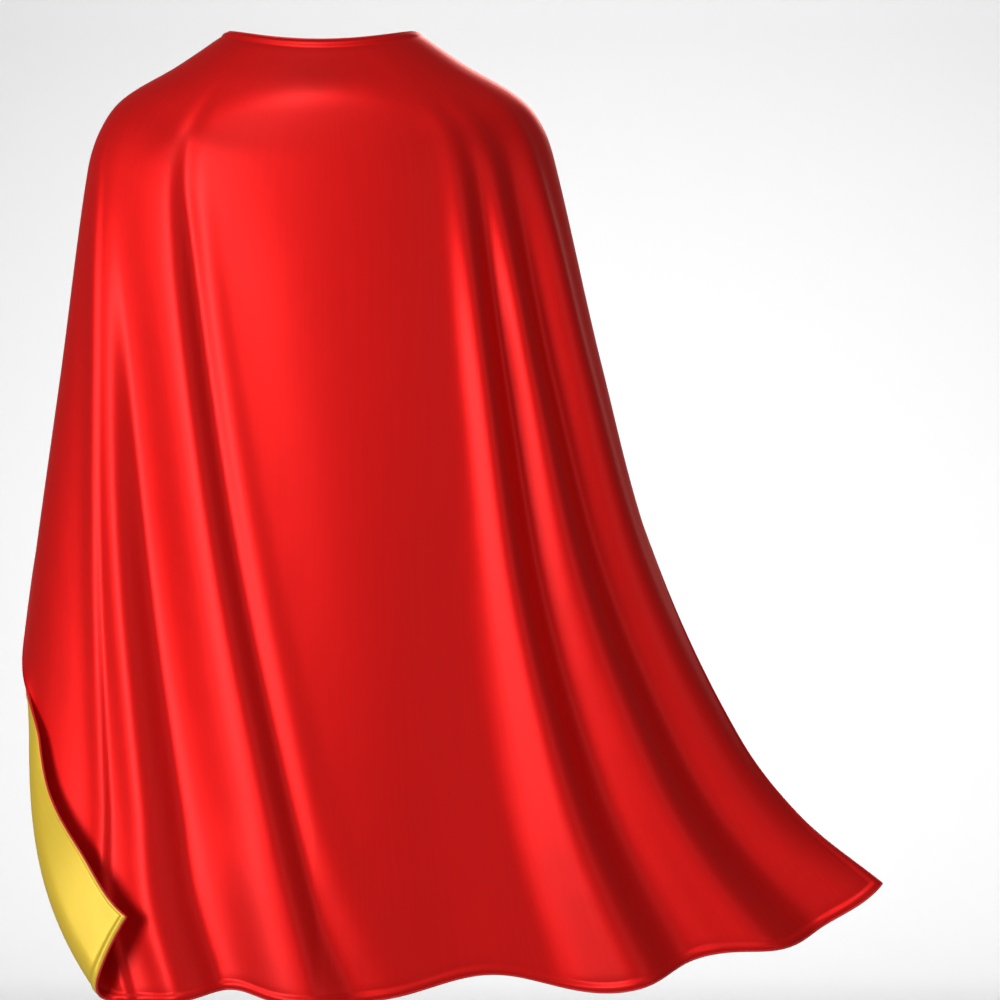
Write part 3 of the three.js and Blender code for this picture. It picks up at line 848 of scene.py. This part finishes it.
def grow_pile(name, surface, facing, k_span, w_span, side, base, kind, finish, body):
    """Hooks, as short bent pegs in rows, or loops, as small arches, all over a patch."""
    columns, rows = (17, 12) if kind == "hook" else (20, 14)
    k, w = np.meshgrid(
        np.linspace(*k_span, columns + 2)[1:-1], np.linspace(*w_span, rows + 2)[1:-1]
    )
    k, w = k.ravel(), w.ravel()
    feet = surface(k, w)
    out = outward(surface, k, w, facing) * side
    along = surface(k + STEP, w) - surface(k - STEP, w)
    along /= np.linalg.norm(along, axis=-1, keepdims=True)
    pile = bmesh.new()
    for i in range(len(k)):
        up, ahead = Vector(out[i]), Vector(along[i])
        if (i // columns + i) % 2:
            ahead = -ahead
        sideways = up.cross(ahead)
        frame = Matrix((ahead, sideways, up)).transposed().to_4x4()
        foot = Vector(feet[i] + out[i] * base) * MM
        place = Matrix.Translation(foot) @ frame
        ring = bmesh.ops.create_circle(pile, segments=5, radius=0.11 * MM, matrix=place)["verts"]
        reach = 200 if kind == "hook" else 180
        bmesh.ops.spin(
            pile, geom=list({edge for vert in ring for edge in vert.link_edges}),
            cent=foot + ahead * 0.16 * MM, axis=sideways, angle=math.radians(reach), steps=4,
            dvec=(0, 0, 0), use_merge=False,
        )
    bmesh.ops.holes_fill(pile, edges=[edge for edge in pile.edges if edge.is_boundary])
    bmesh.ops.recalc_face_normals(pile, faces=pile.faces)
    fit_out(new_piece(name, pile), finish, "hook_and_loop", body)


class CAPE_OT_outer_tab(bpy.types.Operator):
    """Neck tab that closes on top, with the hooks on its underside"""

    bl_idname = "cape.outer_tab"
    bl_label = "Outer tab"

    def execute(self, context):
        make_tab("outer", 1, TAB_STEP, -1, "hook")
        return {"FINISHED"}


class CAPE_OT_inner_tab(bpy.types.Operator):
    """Neck tab that lies next to the throat, with the loops on its outside"""

    bl_idname = "cape.inner_tab"
    bl_label = "Inner tab"

    def execute(self, context):
        make_tab("inner", -1, 0, 1, "loop")
        return {"FINISHED"}


# ---- Stage ----


class CAPE_OT_stage(bpy.types.Operator):
    """Pale paper sweep, soft lights and the camera"""

    bl_idname = "cape.stage"
    bl_label = "Stage"

    def execute(self, context):
        scene = context.scene
        middle = Vector((0.1256, -0.03, -0.3215))

        # The paper hangs well behind the cape and curves forward into a floor below it
        sweep = bmesh.new()
        bmesh.ops.create_grid(sweep, x_segments=2, y_segments=48, size=1)
        floor, wall, bend = -1.0, 5.4, 1.5
        for vert in sweep.verts:
            along = (vert.co.y + 1) / 2
            if along < 0.3:
                y, z = -9 + (wall - bend + 9) * along / 0.3, floor
            elif along < 0.8:
                turn = (along - 0.3) / 0.5 * math.pi / 2
                y = wall - bend + bend * math.sin(turn)
                z = floor + bend * (1 - math.cos(turn))
            else:
                y, z = wall, floor + bend + 4 * (along - 0.8) / 0.2
            vert.co = (vert.co.x * 9, y, z)
        backdrop = new_piece("paper_sweep", sweep)
        paper, _, shader = start_material("white background paper")
        shader.inputs["Base Color"].default_value = (0.86, 0.86, 0.86, 1)
        shader.inputs["Roughness"].default_value = 0.95
        shader.inputs["Specular IOR Level"].default_value = 0.1
        backdrop.data.materials.append(paper)

        for name, place, aim, size, spread, power in (
            ("key", (-2.8, -3.0, 0.2), (0.0, -0.1, 0.05), 1.8, 46, 10.2),
            ("top", (-0.5, -1.9, 1.9), (0.0, -0.06, -0.1), 0.8, 50, 2.1),
            ("fill", (2.4, -3.2, 0.2), (0.05, -0.1, -0.2), 1.6, 180, 10),
            ("paper light", (0.2, 4.3, 2.2), (0.2, 5.4, -0.6), 3.0, 110, 52),
            ("front light", (1.2, 3.8, 1.4), (0.0, 0.0, -0.3), 1.2, 70, 9),
        ):
            lamp = bpy.data.lights.new(name, "AREA")
            lamp.energy = power
            lamp.size = size
            lamp.spread = math.radians(spread)
            light = bpy.data.objects.new(name, lamp)
            light.location = place
            light.rotation_euler = (Vector(aim) - Vector(place)).to_track_quat("-Z", "Y").to_euler()
            scene.collection.objects.link(light)

        scene.world = bpy.data.worlds.new("studio")
        scene.world.use_nodes = True
        around = scene.world.node_tree.nodes["Background"]
        around.inputs["Color"].default_value = (1, 1, 1, 1)
        around.inputs["Strength"].default_value = 0.2

        lens = bpy.data.cameras.new("camera")
        lens.sensor_width = 36
        lens.lens = 200
        camera = bpy.data.objects.new("camera", lens)
        camera.location = middle + Vector((0, -3.9, 0))
        camera.rotation_euler = (math.radians(90), 0, 0)
        scene.collection.objects.link(camera)
        scene.camera = camera
        scene.view_settings.view_transform = "Standard"
        return {"FINISHED"}


# ---- Panel and registration ----

OPERATORS = (
    CAPE_OT_stage, CAPE_OT_shell, CAPE_OT_lining, CAPE_OT_edges, CAPE_OT_neck_tape,
    CAPE_OT_care_label, CAPE_OT_outer_tab, CAPE_OT_inner_tab,
)


class CAPE_PT_panel(bpy.types.Panel):
    bl_idname = "CAPE_PT_panel"
    bl_label = "Reversible satin cape"
    bl_space_type = "VIEW_3D"
    bl_region_type = "UI"
    bl_category = "Cape"

    def draw(self, context):
        for group in (context.scene.cape_sizes, context.scene.cape_colours):
            box = self.layout.box()
            for name in type(group).__annotations__:
                box.prop(group, name)
        for operator in OPERATORS:
            self.layout.operator(operator.bl_idname)


CLASSES = (CapeSizes, CapeColours, *OPERATORS, CAPE_PT_panel)


def register():
    for cls in CLASSES:
        bpy.utils.register_class(cls)
    bpy.types.Scene.cape_sizes = PointerProperty(type=CapeSizes)
    bpy.types.Scene.cape_colours = PointerProperty(type=CapeColours)


def unregister():
    del bpy.types.Scene.cape_colours
    del bpy.types.Scene.cape_sizes
    for cls in reversed(CLASSES):
        bpy.utils.unregister_class(cls)


def main():
    register()
    for operator in OPERATORS:
        group, name = operator.bl_idname.split(".")
        getattr(getattr(bpy.ops, group), name)()


if __name__ == "__main__":
    main()
